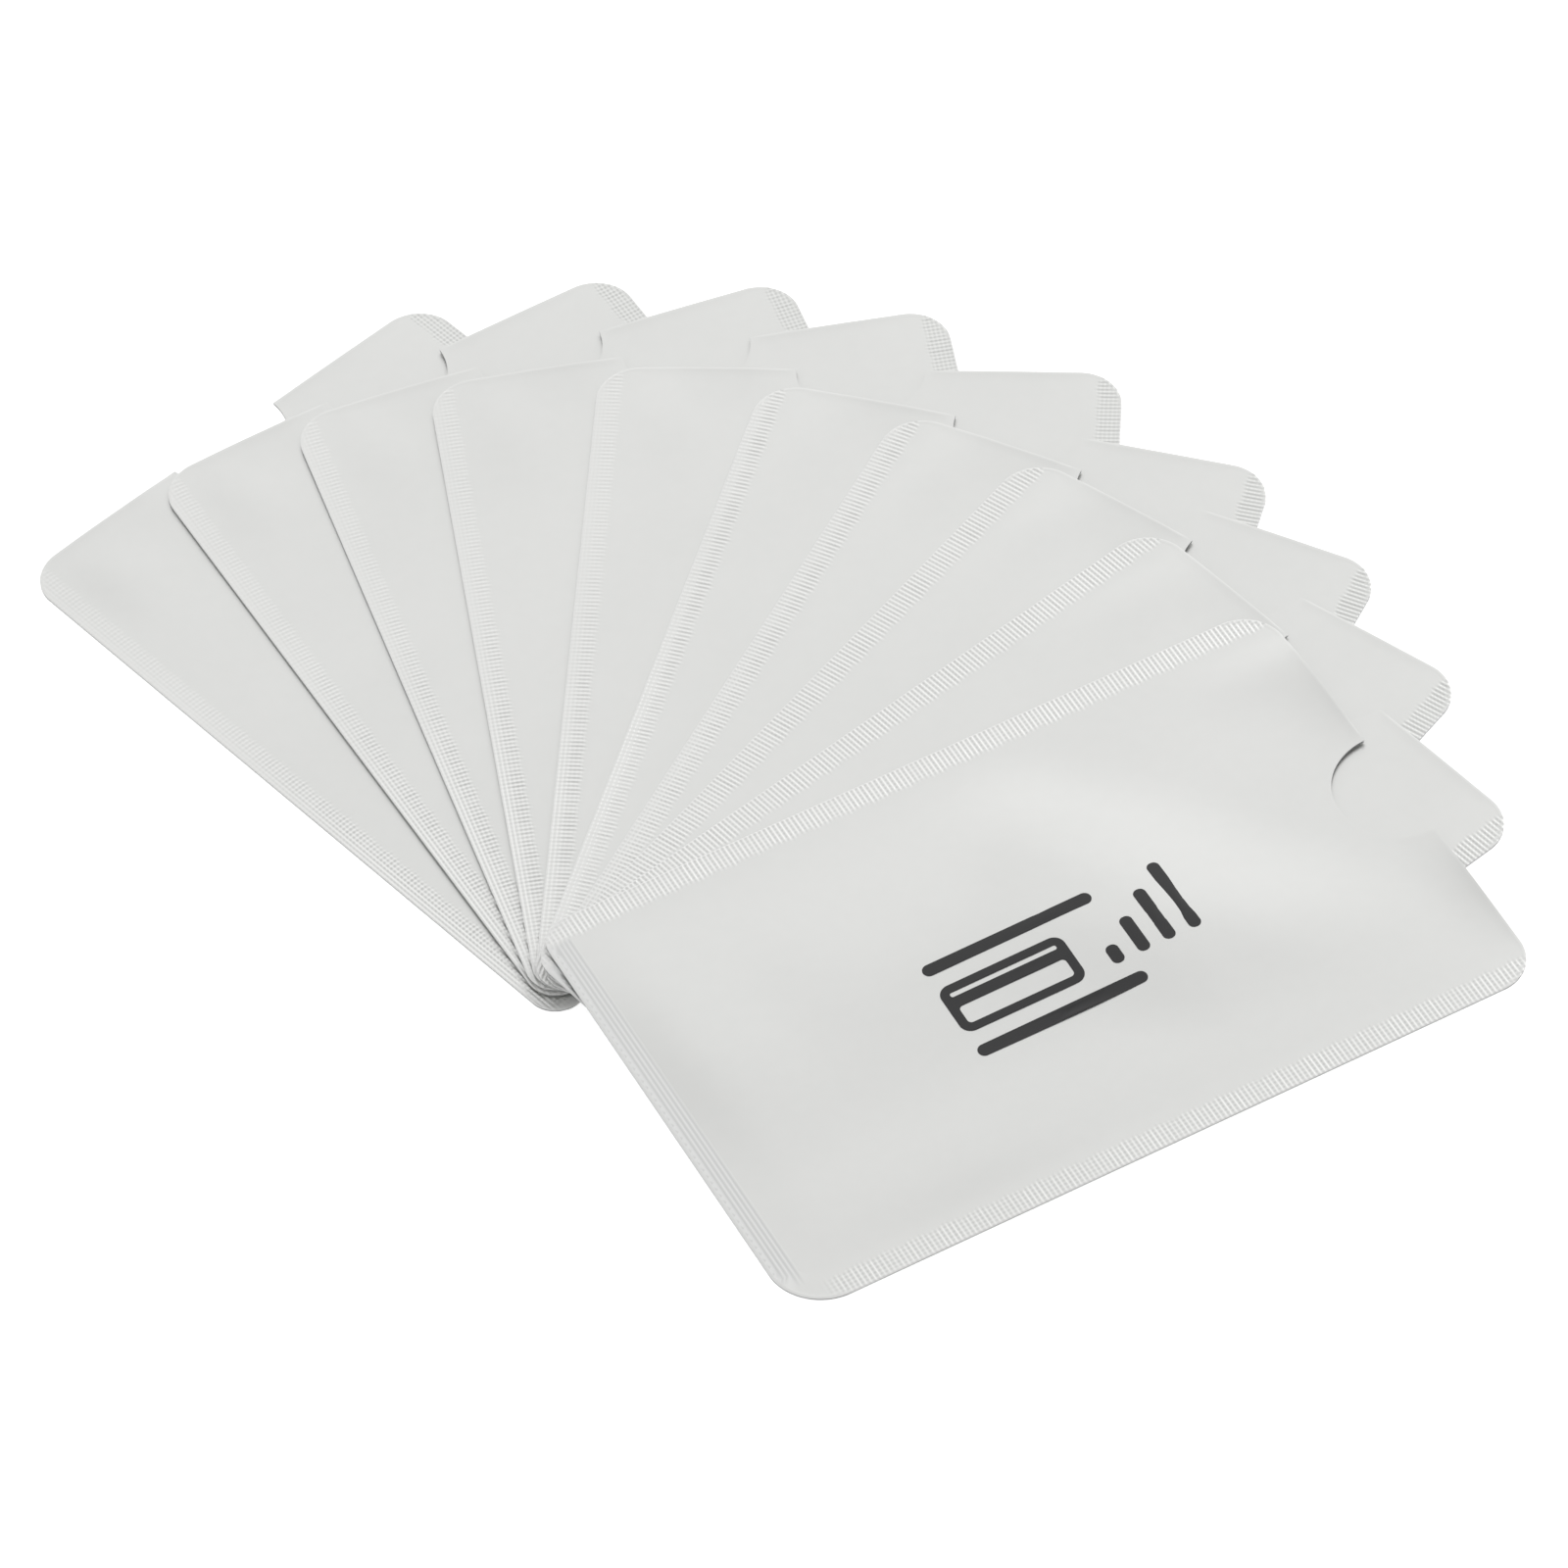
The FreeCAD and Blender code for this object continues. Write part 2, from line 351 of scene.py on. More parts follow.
def sheet_faces(loops, spots, clear):
    """Places and triangles of a sheet inside the first loop, with that loop's points first and in order."""
    spots = np.array(spots)
    spots = spots[depth_inside(spots[:, 0], spots[:, 1]) > clear]
    points, edges = joined_loops(loops)
    points = np.concatenate([np.array(points), spots])
    corners = [Vector(p) for p in points]
    made, _, faces, origins, _, _ = delaunay_2d_cdt(corners, edges, [], 1, MERGE_DISTANCE, True)
    if len(made) != len(points):
        raise RuntimeError("points of the sheet fell together")
    order = np.array([origin[0] for origin in origins])
    faces = order[np.array(faces)]
    a, b, c = points[faces[:, 0]], points[faces[:, 1]], points[faces[:, 2]]
    turn = (b[:, 0] - a[:, 0]) * (c[:, 1] - a[:, 1]) - (b[:, 1] - a[:, 1]) * (c[:, 0] - a[:, 0])
    faces[turn < 0] = faces[turn < 0][:, ::-1]
    middle = points[faces].mean(1)
    return points, faces[depth_inside(middle[:, 0], middle[:, 1]) > 0]


# Crimp of the seals
def on_left(v, left, right):
    """One value on the left half of a sleeve and another on the right half."""
    return np.where(v < WIDTH / 2, left, right)


def side_crimp(u, v):
    """How strongly the ribs across the side seals are pressed: ragged inside, fading in the far closed corner."""
    ragged = SEAL + sum(depth * np.sin(rate * u + start) for depth, rate, start in BAND_RAGGED)
    across = 1.0 - ease(seal_depth(v) - ragged, -BAND_FADE, 0.0)
    return across * on_left(v, 1.0, ease(u, *FAR_CORNER_FADE))


def end_crimp(u, v):
    """How strongly the lines along the closed end's seal are pressed."""
    along = ease(v, *END_LINES_PIVOT) * ease(WIDTH - v, *END_LINES_FAR)
    return (1.0 - ease(u, SEAL - END_BAND_FADE, SEAL)) * along


def softness(number):
    """How far a sleeve's left seal leaves its edge to the long lines: 1 low in the fan, 0 on the upper sleeves."""
    return 1.0 - float(ease(number, SOFT_SLEEVES + 1, SLEEVES - 1))


def crimp_press(u, v, number):
    """How hard a sleeve's ribs are pressed.

    They are softer on the right seal. On the left one they are softer along the edge low in the fan, and
    towards the mouth on the lowest sleeves.
    """
    slow, quick = PRESS_DRIFT_RATES
    drift = np.sin(slow * u + PRESS_DRIFT_START * number) * np.sin(quick * u)
    rib = np.floor(u / RIB_PITCH + RIB_STARTS_EARLY)
    by_rib = np.sin(PRESS_RIB_RATE * rib + PRESS_RIB_START * number)
    uneven = PRESS_LEVEL + PRESS_DRIFT * drift + PRESS_BY_RIB * by_rib
    soft = softness(number)
    if number <= SOFT_SLEEVES:
        left = 1.0 - MOUTH_SOFTENING * ease(u, *MOUTH_SOFTENING_RUN)
    else:
        left = 1.0 - PIVOT_SOFTENING * soft * (1.0 - ease(u, *PIVOT_SOFTENING_RUN))
    edge = EDGE_SOFTENING_FIRM + EDGE_SOFTENING_MORE * soft
    left = left * (1.0 - edge * (1.0 - ease(v, *EDGE_SOFTENING_RUN)))
    right = RIGHT_FIRM if SOFT_SLEEVES < number < SLEEVES else RIGHT_SOFT
    return uneven * on_left(v, left, right)


def line_press(u, v, number):
    """How clearly the lines along the side seals show: most near the pivot and along the left edge low in the fan."""
    soft = softness(number)
    if number <= SOFT_SLEEVES:
        left = LOW_LINES - LOW_LINES_LOSS * ease(u, *LOW_LINES_RUN)
        right = LOW_LINES_RIGHT
    else:
        left = UPPER_LINES + soft * (SOFT_LINES_MORE - SOFT_LINES_LOSS * ease(u, *SOFT_LINES_RUN))
        right = UPPER_LINES
    left = left * (1.0 + soft * (EDGE_LINES_MORE - EDGE_LINES_LOSS * ease(v, *EDGE_LINES_RUN)))
    return side_crimp(u, v) * on_left(v, left, right)


def painted_seal_light_and_shade(u, v, number):
    """Painted light and shade on the side seals: lighter along the left seal, darker along a covered sleeve's right
    one.
    """
    return side_crimp(u, v) * on_left(v, 1.0, 0.0 if number == SLEEVES else -RIGHT_PAINTED_SHADE)


def crimp_relief(u, v, number):
    """Ribs across the side seals and lines along the end seal."""
    ribs = np.sin(2 * np.pi * u / RIB_PITCH) * side_crimp(u, v) * RIB_DEPTH / 2 * crimp_press(u, v, number)
    lines = np.sin(2 * np.pi * u / END_LINE_PITCH) * end_crimp(u, v) * END_LINE_DEPTH / 2
    return ribs + lines


def edge_bead(u, v):
    """Height of the thin bead that the cutter leaves just inside a cut edge: fullest on a weld, faint at the notch."""
    sealed = np.maximum(1.0 - ease(seal_depth(v), SEAL / 2, SEAL), 1.0 - ease(u, END_BEAD_FULL, SEAL))
    shape = np.interp(depth_inside(u, v), (0.0, EDGE_BEAD_IN, EDGE_FLAT), (-EDGE_DROP_SHARE, 1.0, 0.0))
    beside_notch = ease(from_notch(u, v) - NOTCH, *NOTCH_BEAD_RUN)
    mouth = NOTCH_BEAD + (MOUTH_BEAD - NOTCH_BEAD) * beside_notch
    return (mouth + (EDGE_BEAD - mouth) * sealed) * shape


# Swell of the front walls, in millimetres
def swell(u, v):
    """Rise of an empty pocket's front wall, 0 along the seals and 1 along the middle."""
    run = 1.0 - np.maximum(0.0, 1.0 - np.maximum(u - SEAL, 0.0) / SWELL_RUN) ** 2
    across = np.clip((v - SEAL) / (WIDTH - 2 * SEAL), 0.0, 1.0)
    return run * (1.0 - (2.0 * across - 1.0) ** 4)


def mouth_lip(u, v):
    """How far a wall turns up along the mouth: most left of the notch, none at the seals and beside the notch."""
    along = np.clip((u - LENGTH + LIP_RUN) / LIP_RUN, 0.0, 1.0) ** LIP_CURVE
    clear_of_seal = ease(seal_depth(v), *LIP_FROM_SEAL)
    clear_of_notch = ease(np.abs(v - WIDTH / 2), *LIP_FROM_NOTCH)
    return along * clear_of_seal * clear_of_notch * on_left(v, 1.0, LIP_RIGHT_SHARE)


def slow_waves(u, v, number):
    """Slow waves over a covered sleeve's pocket, different on each sleeve."""
    along = np.sin(WAVE_RATES[0] * u + WAVE_STARTS[0] * number)
    across = np.sin(WAVE_RATES[1] * v + WAVE_STARTS[1] * number)
    slanting = np.sin(SLANT_RATES[0] * u - SLANT_RATES[1] * v + number)
    return along * across + SLANT_SHARE * slanting


def stacked_front(u, v, number):
    """Rise of a covered sleeve's front wall: a low swell with slow waves, a lip and a fuller corner at the mouth."""
    inside = swell(u, v) * (1.0 - MOUTH_SINK * ease(u, *MOUTH_SINK_RUN))
    along, half_length, across, half_width = FULL_CORNER
    corner = ease(seal_depth(v), *CORNER_FROM_SEAL) * bell(u, along, half_length) * bell(v, across, half_width)
    pocket = inside * (SWELL_LEVEL + SWELL_WAVES * slow_waves(u, v, number))
    return STACKED_SWELL * pocket + STACKED_LIP * mouth_lip(u, v) + STACKED_CORNER * corner


def top_pillow(u, v):
    """The top sleeve's pillow as a share of its height, steepest along a slanting ridge near the mouth."""
    plateau = TOP_LOW_SHARE + (1.0 - TOP_LOW_SHARE) * ease(u, *TOP_LOW_TO_FULL)
    climb = ease(v, SEAL - TOP_CLIMB_BEFORE, SEAL + TOP_CLIMB - TOP_PINCH * bell(u, *TOP_PINCH_AT))
    past_ridge = (v - TOP_RIDGE_AT[1]) * TOP_RIDGE_WAY[1] - (u - TOP_RIDGE_AT[0]) * TOP_RIDGE_WAY[0]
    start = TOP_FALL_FROM + TOP_FALL_LATER * ease(u, *TOP_FALL_LATER_RUN)
    fall = (1.0 - TOP_FALL_SHARE * ease(v, start, start + TOP_FALL_RUN)) * ease(WIDTH - v, *TOP_RIGHT_RUN)
    end = 1.0 - (1.0 - np.clip((u - SEAL + TOP_END_BEFORE) / TOP_END_RUN, 0.0, 1.0)) ** 2
    return plateau * climb * ease(past_ridge, *TOP_RIDGE_RUN) * fall * end


def top_front(u, v):
    """Rise of the top sleeve's front wall: its pillow, a low rise beside the closed end, dents and humps."""
    beside_end = ease(u, *TOP_END_RISE_FROM) * (1.0 - ease(u, *TOP_END_RISE_TO))
    beside_end = beside_end * ease(seal_depth(v), *TOP_END_RISE_SIDE)
    height = TOP_SWELL * top_pillow(u, v) + TOP_END_RISE * beside_end
    hold = ease(seal_depth(v), *SWELLS_FROM_SIDE) * ease(u, *SWELLS_FROM_END)
    for along, across, half_length, half_width, turn, rise in TOP_SWELLS:
        angle = math.radians(turn)
        x = (u - along) * math.cos(angle) + (v - across) * math.sin(angle)
        y = -(u - along) * math.sin(angle) + (v - across) * math.cos(angle)
        height = height + hold * rise * bell(x, 0.0, half_length) * bell(y, 0.0, half_width)
    return height


# Meshes
class SleeveSheet:
    """The sheet that every wall is made from: a fine outer face and a coarse inner face with one rim."""

    def __init__(self):
        rim = outline()
        self.rim = len(rim)
        loops = [rim, outline(EDGE_BEAD_IN), outline(EDGE_FLAT)]
        self.outer, self.outer_faces = sheet_faces(loops, fine_points(), EDGE_FLAT + CLEAR_OF_LOOPS)
        self.inner, self.inner_faces = sheet_faces([rim], coarse_points(), CLEAR_OF_RIM)

    def wall(self, name, number, outer_height, inner_height, place, outside_up, materials):
        """A closed wall from the heights of its outer and inner faces, laid at its place in the fan."""
        outer, inner = self.outer.T, self.inner.T
        shift = len(self.outer)
        faces, kinds = self.wall_faces(shift)
        if not outside_up:
            faces = faces[:, ::-1]
        flat = np.concatenate([self.outer, self.inner])
        heights = np.concatenate([outer_height(*outer), inner_height(*inner)])
        mesh = bpy.data.meshes.new(name)
        mesh.from_pydata(np.array(laid_places(place, flat, heights)), [], faces)
        mesh.polygons.foreach_set("material_index", kinds)
        mesh.polygons.foreach_set("use_smooth", np.ones(len(faces), bool))
        for material in materials:
            mesh.materials.append(material)
        self.sharpen_rim(mesh, shift)
        unpressed = np.zeros(len(self.inner))
        for label, of_outer, of_inner in (
                ("seal_depth", seal_depth(outer[1]), seal_depth(inner[1])),
                ("side_lines", line_press(*outer, number), unpressed),
                ("painted_seal_light_and_shade", painted_seal_light_and_shade(*outer, number), unpressed),
                ("end_crimp", end_crimp(*outer), unpressed),
                ("wear_highlight_depth", wear_highlight_depth(*outer), wear_highlight_depth(*inner))):
            values = np.concatenate([of_outer, of_inner]).astype(np.float32)
            mesh.attributes.new(label, "FLOAT", "POINT").data.foreach_set("value", values)
        mesh.update()
        piece = bpy.data.objects.new(name, mesh)
        bpy.context.scene.collection.objects.link(piece)
        return piece

    def wall_faces(self, shift):
        """Triangles of a wall with its outside up, and the material of each: outer face, inner face and rim."""
        ring = np.arange(self.rim)
        after = (ring + 1) % self.rim
        upper = np.stack([ring, shift + ring, after], 1)
        lower = np.stack([after, shift + ring, shift + after], 1)
        parts = [self.outer_faces, self.inner_faces[:, ::-1] + shift, np.concatenate([upper, lower])]
        kinds = np.concatenate([np.full(len(part), kind, np.int32) for kind, part in enumerate(parts)])
        # The sheet's own across axis runs to the right, so its faces turn over when it is laid in the fan.
        return np.concatenate(parts)[:, ::-1], kinds

    def sharpen_rim(self, mesh, shift):
        """Keeps the corner crisp where a face meets the rim."""
        ends = np.empty(len(mesh.edges) * 2, np.int32)
        mesh.edges.foreach_get("vertices", ends)
        ends = np.sort(ends.reshape(-1, 2), axis=1)
        step = ends[:, 1] - ends[:, 0]
        beside = (step == 1) | (step == self.rim - 1)
        on_outer = (ends[:, 1] < self.rim) & beside
        on_inner = (ends[:, 0] >= shift) & (ends[:, 1] < shift + self.rim) & beside
        mesh.edges.foreach_set("use_edge_sharp", on_outer | on_inner)


def place_in_fan(number):
    """The sleeve's own frame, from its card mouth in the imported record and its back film's lowest face."""
    mouth = next(m for m in frame["record"]["mounts"] if m["name"] == f"card_mouth_{number:02d}")
    along = Vector(mouth["axis"])
    left = Vector((-along.y, along.x, 0.0))
    corner = Vector(mouth["pos_m"]) - along * LENGTH * MM + left * WIDTH * MM / 2
    corner.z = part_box(f"sleeve_{number:02d}_back_film")[0].z
    turn = Matrix((along, left, (0.0, 0.0, 1.0))).transposed()
    return Matrix.Translation(corner) @ turn.to_4x4()


def laid_places(place, flat, heights):
    """Points of a sheet, with their heights, at the sleeve's place in the fan."""
    return [place @ Vector((u * MM, -v * MM, height * MM)) for (u, v), height in zip(flat, heights)]


def make_walls(number, sheet, materials):
    """The front and back walls of one sleeve. Gives back the height of the front wall's outer face."""
    place = place_in_fan(number)

    def rise(u, v):
        return top_front(u, v) if number == SLEEVES else stacked_front(u, v, number)

    def front_outer(u, v):
        return FRONT_TOP - RIB_DEPTH / 2 + rise(u, v) + crimp_relief(u, v, number) + edge_bead(u, v)

    def front_inner(u, v):
        return FRONT_TOP - FRONT_WALL + rise(u, v)

    def back_outer(u, v):
        return RIB_DEPTH / 2 - BACK_RIB_SHARE * crimp_relief(u, v, number) - BACK_BEAD_SHARE * edge_bead(u, v)

    def back_inner(u, v):
        return np.full(len(u), BACK_WALL_TOP)

    name = f"sleeve_{number:02d}"
    front = sheet.wall(f"{name}_front_wall", number, front_outer, front_inner, place, True, materials)
    back = sheet.wall(f"{name}_back_wall", number, back_outer, back_inner, place, False, materials)
    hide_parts(f"{name}_front_film", f"{name}_front_foil")
    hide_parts(f"{name}_back_film", f"{name}_back_foil")
    for wall in (front, back):
        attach(wall, name)
    return front_outer


# Shared parts of the materials
MIX_FACTOR, MIX_FIRST, MIX_SECOND, MIX_RESULT = 0, 6, 7, 2
HALFWAY = 0.5
NOISE_MIDDLE = 0.5
QUICK_TONE_SHARE = 0.35
FINE_GRAIN_SHARE = 0.04
# Patchiness of the rubbed edges, which also carry a painted highlight
WEAR_HIGHLIGHT_PATCH_SIZE = 900.0
WEAR_HIGHLIGHT_PATCHINESS = 1.2
WEAR_HIGHLIGHT_LEAST = 0.4


def new_group(name, inputs, outputs):
    """An empty shader node group with named sockets."""
    group = bpy.data.node_groups.new(name, "ShaderNodeTree")
    for label, value in inputs:
        socket = group.interface.new_socket(label, in_out="INPUT", socket_type="NodeSocketFloat")
        socket.default_value = value
    for label in outputs:
        group.interface.new_socket(label, in_out="OUTPUT", socket_type="NodeSocketFloat")
    return group, group.nodes.new("NodeGroupInput"), group.nodes.new("NodeGroupOutput")


def add(tree, kind, links=None, **settings):
    """A node with its settings and what feeds it: a socket or a plain value for each input."""
    node = tree.nodes.new(kind)
    for key, value in settings.items():
        setattr(node, key, value)
    for key, source in (links or {}).items():
        if isinstance(source, bpy.types.NodeSocket):
            tree.links.new(source, node.inputs[key])
        else:
            node.inputs[key].default_value = source
    return node


def maths(tree, operation, first, second=0.0, third=0.0, clamp=False):
    """The result of one sum."""
    node = add(tree, "ShaderNodeMath", {0: first, 1: second, 2: third}, operation=operation, use_clamp=clamp)
    return node.outputs[0]


def point_value(tree, name):
    """A value stored on the mesh's points."""
    return add(tree, "ShaderNodeAttribute", attribute_name=name).outputs["Fac"]


def noise(tree, scale, detail, **settings):
    """Noise that lies still on the object."""
    where = add(tree, "ShaderNodeTexCoord").outputs["Object"]
    links = {"Vector": where, "Scale": scale, "Detail": detail, **settings}
    return add(tree, "ShaderNodeTexNoise", links).outputs["Fac"]


def cloudy_tone_group():
    """Slow cloudy changes of tone over a sheet, about 0."""
    group, given, result = new_group("cloudy_tone", [("Size", 45.0), ("Detail size", 700.0)], ["Tone"])
    slow = noise(group, given.outputs["Size"], detail=3.0, Roughness=0.5)
    slow = maths(group, "SUBTRACT", slow, NOISE_MIDDLE)
    quick = noise(group, given.outputs["Detail size"], detail=2.0)
    quick = maths(group, "SUBTRACT", quick, NOISE_MIDDLE)
    group.links.new(maths(group, "MULTIPLY_ADD", quick, QUICK_TONE_SHARE, slow), result.inputs["Tone"])
    return group


def satin_grain_group():
    """Fine satin grain of a coated film: a height for the bump and a change of gloss."""
    inputs = [("Grain size", 9000.0), ("Wave size", 60.0)]
    group, given, result = new_group("satin_grain", inputs, ["Height", "Gloss change"])
    fine = noise(group, given.outputs["Grain size"], detail=2.0)
    fine = maths(group, "MULTIPLY", fine, FINE_GRAIN_SHARE)
    waves = noise(group, given.outputs["Wave size"], detail=1.0)
    group.links.new(maths(group, "ADD", fine, waves), result.inputs["Height"])
    group.links.new(maths(group, "SUBTRACT", waves, NOISE_MIDDLE), result.inputs["Gloss change"])
    return group


def seal_lines_group():
    """Faint lines along a side seal, the painted light and shade along the side seals, and how far the end's crimp has
    dulled the film.
    """
    group, given, result = new_group("seal_lines", [("Pitch", 0.5)], ["Height", "Painted seal light and shade", "Dulled"])
    turns = maths(group, "DIVIDE", point_value(group, "seal_depth"), given.outputs["Pitch"])
    wave = maths(group, "SINE", maths(group, "MULTIPLY", turns, 2 * math.pi))
    group.links.new(maths(group, "MULTIPLY", wave, point_value(group, "side_lines")), result.inputs["Height"])
    group.links.new(point_value(group, "painted_seal_light_and_shade"), result.inputs["Painted seal light and shade"])
    group.links.new(point_value(group, "end_crimp"), result.inputs["Dulled"])
    return group


def edge_wear_and_highlight_group():
    """How far the coat is rubbed off along a cut edge, broken up by noise: real wear that also paints a highlight
    along the edge.
    """
    group, given, result = new_group("edge_wear_and_highlight", [("Width", 0.22)], ["Rubbed"])
    patchy = noise(group, WEAR_HIGHLIGHT_PATCH_SIZE, detail=3.0)
    patchy = maths(group, "MULTIPLY_ADD", patchy, WEAR_HIGHLIGHT_PATCHINESS, WEAR_HIGHLIGHT_LEAST)
    width = maths(group, "MULTIPLY", given.outputs["Width"], patchy)
    near = maths(group, "DIVIDE", point_value(group, "wear_highlight_depth"), width)
    group.links.new(maths(group, "SUBTRACT", 1.0, near, clamp=True), result.inputs["Rubbed"])
    return group


GROUPS = {
    "tone": cloudy_tone_group(),
    "grain": satin_grain_group(),
    "lines": seal_lines_group(),
    "wear_and_highlight": edge_wear_and_highlight_group(),
}


def place_group(tree, key, **values):
    """A shared effect placed in a material with its own values."""
    node = tree.nodes.new("ShaderNodeGroup")
    node.node_tree = GROUPS[key]
    for name, value in values.items():
        node.inputs[name.replace("_", " ")].default_value = value
    return node


def new_material(name, metallic, roughness):
    """A material with its shader and the plain values of that shader."""
    material = bpy.data.materials.new(name)
    material.use_nodes = True
    shader = material.node_tree.nodes["Principled BSDF"]
    shader.inputs["Metallic"].default_value = metallic
    shader.inputs["Roughness"].default_value = roughness
    return material, material.node_tree, shader


def mix_colours(tree, factor, first, second):
    """Two colours mixed by a factor. Each is a socket or red, green and blue."""
    first, second = (c if isinstance(c, bpy.types.NodeSocket) else (*c, 1.0) for c in (first, second))
    links = {MIX_FACTOR: factor, MIX_FIRST: first, MIX_SECOND: second}
    return add(tree, "ShaderNodeMix", links, data_type="RGBA").outputs[MIX_RESULT]


def drifting_colour(tree, tone, dark, pale, contrast, middle=HALFWAY):
    """A colour that drifts between two shades with a cloudy tone."""
    shade = maths(tree, "MULTIPLY_ADD", tone, contrast, middle, clamp=True)
    return mix_colours(tree, shade, dark, pale)


# Materials
FILM_METALLIC = 0.80
FILM_ROUGHNESS = 0.36
FILM_SHADES = ((0.690, 0.695, 0.680), (0.750, 0.752, 0.738))
FILM_DULL = (0.655, 0.66, 0.655)
# Pale worn edge colour and its share: partly real wear, partly a painted highlight along the edges and round the
# shaded pivot corner
FILM_WORN_HIGHLIGHT = (0.92, 0.92, 0.91)
FILM_PAINTED_SEAL_LIGHT = 0.35
FILM_DULLING = 0.7
FILM_WEAR_HIGHLIGHT = 0.6
FILM_METAL_LOST = 0.6
FILM_GLOSS_DRIFT = 0.12
FILM_DULL_ROUGHER = 0.05
WEAR_HIGHLIGHT_WIDTH = 0.22
FOIL_ROUGHNESS = 0.30
FOIL_GLOSS_DRIFT = 0.2
FOIL_SHADES = ((0.55, 0.56, 0.57), (0.66, 0.67, 0.68))
CORE_SHADES = ((0.58, 0.59, 0.58), (0.78, 0.78, 0.77))
WELD_SHADES = ((0.48, 0.49, 0.49), (0.66, 0.67, 0.67))
INK_ROUGHNESS = 0.45
INK_GLOSS_DRIFT = 0.15
INK_SHADES = ((0.010, 0.010, 0.011), (0.022, 0.022, 0.023))


def silver_film():
    """Satin silver coating of the outer film: cloudy tone, painted light and shade along the side seals, and rubbed
    cut edges that also carry a painted highlight.
    """
    material, tree, shader = new_material("silver_film", metallic=FILM_METALLIC, roughness=FILM_ROUGHNESS)
    tone = place_group(tree, "tone", Size=32.0, Detail_size=600.0).outputs["Tone"]
    lines = place_group(tree, "lines", Pitch=SIDE_LINE_PITCH)
    wear_and_highlight = place_group(tree, "wear_and_highlight", Width=WEAR_HIGHLIGHT_WIDTH).outputs["Rubbed"]
    grain = place_group(tree, "grain", Grain_size=9000.0, Wave_size=38.0)
    # Painted light along the left seal and painted shade along a covered sleeve's right seal move the film's shade
    painted_seal_level = maths(tree, "MULTIPLY_ADD", lines.outputs["Painted seal light and shade"], FILM_PAINTED_SEAL_LIGHT, HALFWAY)
    film = drifting_colour(tree, tone, *FILM_SHADES, contrast=0.9, middle=painted_seal_level)
    dulled = mix_colours(tree, maths(tree, "MULTIPLY", lines.outputs["Dulled"], FILM_DULLING), film, FILM_DULL)
    # The pale worn colour at cut edges is partly real wear and partly a painted highlight, which also lightens the
    # shaded pivot corner
    worn_and_highlighted = mix_colours(tree, maths(tree, "MULTIPLY", wear_and_highlight, FILM_WEAR_HIGHLIGHT), dulled, FILM_WORN_HIGHLIGHT)
    tree.links.new(worn_and_highlighted, shader.inputs["Base Color"])
    metal = maths(tree, "MULTIPLY_ADD", wear_and_highlight, -FILM_METAL_LOST, FILM_METALLIC)
    tree.links.new(metal, shader.inputs["Metallic"])
    gloss = maths(tree, "MULTIPLY_ADD", grain.outputs["Gloss change"], FILM_GLOSS_DRIFT, FILM_ROUGHNESS)
    gloss = maths(tree, "MULTIPLY_ADD", lines.outputs["Dulled"], FILM_DULL_ROUGHER, gloss)
    tree.links.new(gloss, shader.inputs["Roughness"])
    soft = add(tree, "ShaderNodeBump", {"Height": grain.outputs["Height"], "Strength": 0.10, "Distance": 0.0006})
    lined = add(tree, "ShaderNodeBump", {"Height": lines.outputs["Height"], "Strength": 0.6, "Distance": 0.00003,
                                         "Normal": soft.outputs["Normal"]})
    tree.links.new(lined.outputs["Normal"], shader.inputs["Normal"])
    return material


def foil_lining():
    """Bright rolled foil on the inside of a wall."""
    material, tree, shader = new_material("foil_lining", metallic=1.0, roughness=FOIL_ROUGHNESS)
    tone = place_group(tree, "tone", Size=80.0, Detail_size=1500.0).outputs["Tone"]
    grain = place_group(tree, "grain", Grain_size=5000.0, Wave_size=120.0)
    tree.links.new(drifting_colour(tree, tone, *FOIL_SHADES, contrast=0.9), shader.inputs["Base Color"])
    gloss = maths(tree, "MULTIPLY_ADD", grain.outputs["Gloss change"], FOIL_GLOSS_DRIFT, FOIL_ROUGHNESS)
    tree.links.new(gloss, shader.inputs["Roughness"])
    bump = add(tree, "ShaderNodeBump", {"Height": grain.outputs["Height"], "Strength": 0.15, "Distance": 0.0004})
    tree.links.new(bump.outputs["Normal"], shader.inputs["Normal"])
    return material


def cut_edge():
    """The pale torn core that shows where a wall is cut."""
    material, tree, shader = new_material("cut_edge", metallic=0.0, roughness=0.6)
    tone = place_group(tree, "tone", Size=900.0, Detail_size=4000.0).outputs["Tone"]
    tree.links.new(drifting_colour(tree, tone, *CORE_SHADES, contrast=1.2), shader.inputs["Base Color"])
    return material


def melted_weld():
    """Melted clear liner that joins two walls."""
    material, tree, shader = new_material("melted_weld", metallic=0.0, roughness=0.5)
    tone = place_group(tree, "tone", Size=400.0, Detail_size=2500.0).outputs["Tone"]
    tree.links.new(drifting_colour(tree, tone, *WELD_SHADES, contrast=1.0), shader.inputs["Base Color"])
    return material


def black_ink():
    """Satin black print with a slightly uneven coat."""
    material, tree, shader = new_material("black_ink", metallic=0.0, roughness=INK_ROUGHNESS)
    tone = place_group(tree, "tone", Size=300.0, Detail_size=3000.0).outputs["Tone"]
    tree.links.new(drifting_colour(tree, tone, *INK_SHADES, contrast=1.0), shader.inputs["Base Color"])
    gloss = maths(tree, "MULTIPLY_ADD", tone, INK_GLOSS_DRIFT, INK_ROUGHNESS)
    tree.links.new(gloss, shader.inputs["Roughness"])
    return material


